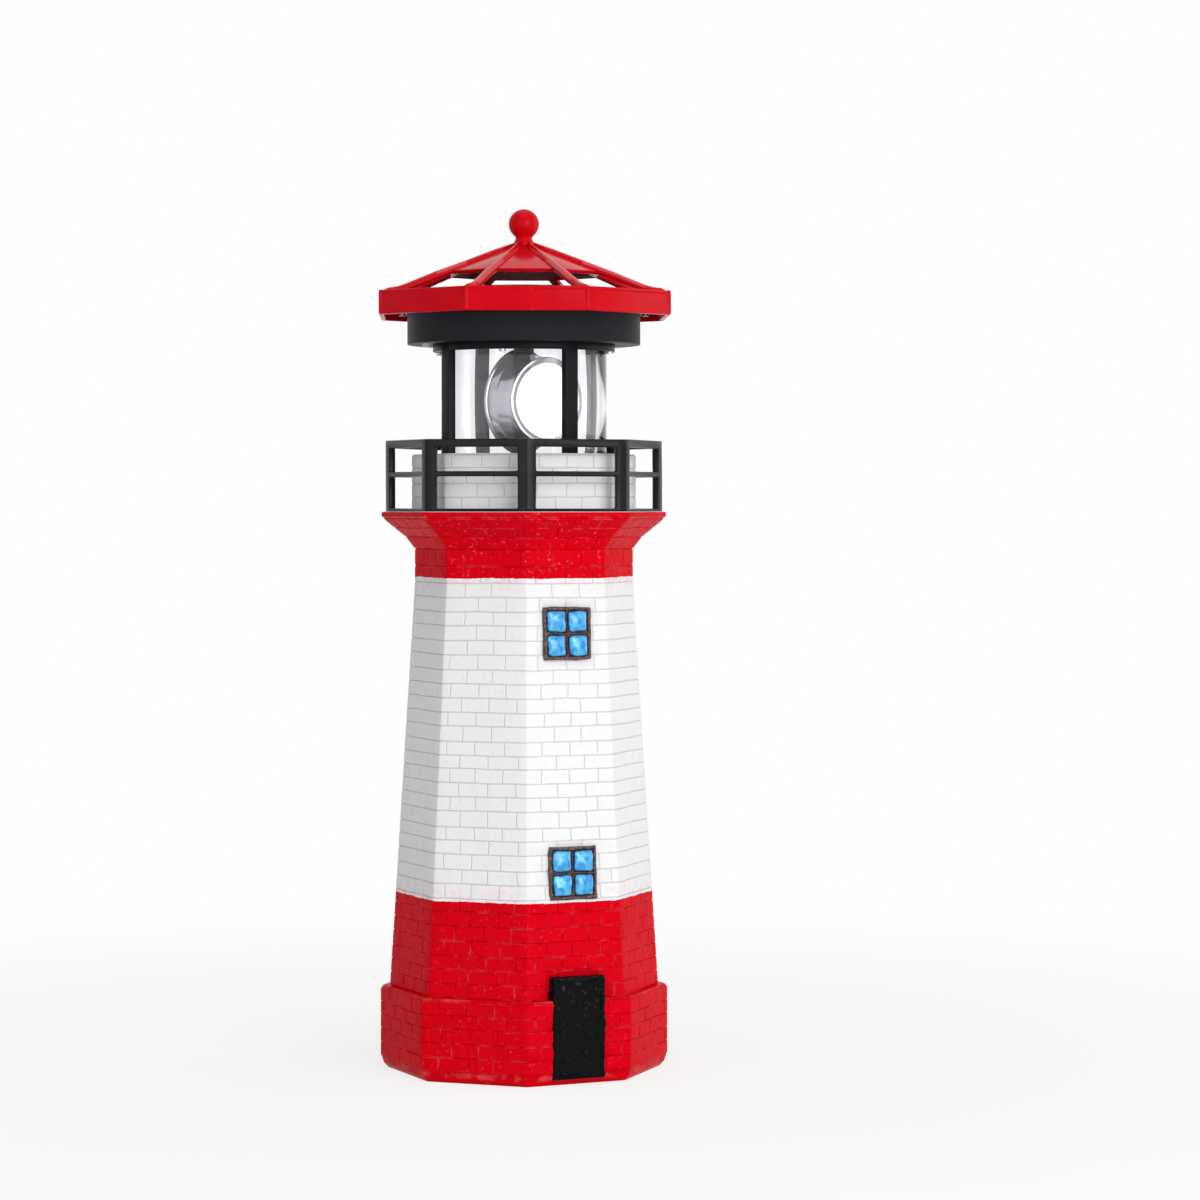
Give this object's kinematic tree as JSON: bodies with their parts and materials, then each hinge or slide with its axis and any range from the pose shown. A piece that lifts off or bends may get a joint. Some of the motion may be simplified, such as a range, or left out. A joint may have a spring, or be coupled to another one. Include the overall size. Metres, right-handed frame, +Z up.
{
  "type": "garden lighthouse ornament",
  "caption": "Small eight-sided garden lighthouse of painted cast resin with a railing and a lift-out solar lamp whose reflector and lens turn inside a clear tube.",
  "frame": {"origin": "centre of the base, on the ground", "axes": "+Z up along the tower; -Y through the tower's front arris, with the door and windows on the flat next to it towards +X"},
  "size_m": [0.091, 0.091, 0.27],
  "materials": {
    "cast_resin": "matt painted cast resin with brick relief",
    "railing_black": "satin moulded",
    "cage_black": "satin moulded",
    "tube_clear": "clear",
    "gasket_grey": "matt",
    "screw_steel": "plain",
    "housing_black": "satin moulded",
    "panel_board": "plain",
    "cell_blue": "dark blue",
    "cover_clear": "clear",
    "roof_red": "gloss moulded",
    "reflector_silver": "vacuum metallised plastic",
    "lens_clear": "clear",
    "hub_black": "satin moulded",
    "bush_brass": "turned",
    "gear_white": "moulded",
    "shaft_steel": "plain",
    "motor_can": "drawn",
    "board_green": "lacquered",
    "chip_black": "moulded",
    "battery_wrap": "shrink sleeve",
    "switch_black": "moulded",
    "switch_white": "moulded"
  },
  "bodies": {
    "tower": {"tower": "cast_resin", "gallery_railing": "railing_black"},
    "lamp_unit": {"lantern_cage": "cage_black", "lantern_tube": "tube_clear", "tube_gasket": "gasket_grey", "cage_screws": "screw_steel", "housing_shell": "housing_black", "housing_lid": "housing_black", "solar_panel": "panel_board", "solar_cells": "cell_blue", "solar_cover": "cover_clear", "roof_frame": "roof_red", "roof_screws": "screw_steel", "finial": "roof_red", "hub_bush": "bush_brass", "motor": "motor_can", "led_bridge": "hub_black", "led_stalk": "hub_black", "led_leads": "bush_brass", "led": "lens_clear", "control_board": "board_green", "board_parts": "chip_black", "battery": "battery_wrap", "positive_contact": "shaft_steel", "negative_contact": "shaft_steel", "contact_spring": "shaft_steel", "switch_body": "switch_black"},
    "beacon": {"reflector_drum": "reflector_silver", "beacon_lens": "lens_clear", "beacon_hub": "hub_black", "drive_wheel": "gear_white"},
    "motor_rotor": {"motor_pinion": "gear_white", "motor_shaft": "shaft_steel"},
    "switch_knob": {"switch_knob": "switch_white"}
  },
  "joints": [
    {"name": "lamp_lift", "type": "slide", "parent": "tower", "child": "lamp_unit", "axis": [0, 0, 1], "range_m": [0, 0.03]},
    {"name": "beacon_spin", "type": "hinge", "parent": "lamp_unit", "child": "beacon", "pos_m": [0, 0, 0.2093], "axis": [0, 0, 1], "continuous": true},
    {"name": "motor_spin", "type": "hinge", "parent": "lamp_unit", "child": "motor_rotor", "pos_m": [0, -0.012, 0.2305], "axis": [0, 0, 1], "continuous": true},
    {"name": "switch_slide", "type": "slide", "parent": "lamp_unit", "child": "switch_knob", "axis": [0.2588, -0.9659, 0], "range_m": [0, 0.002]}
  ],
  "couplings": [
    {"joint": "motor_spin", "follows": "beacon_spin", "ratio": -3}
  ]
}
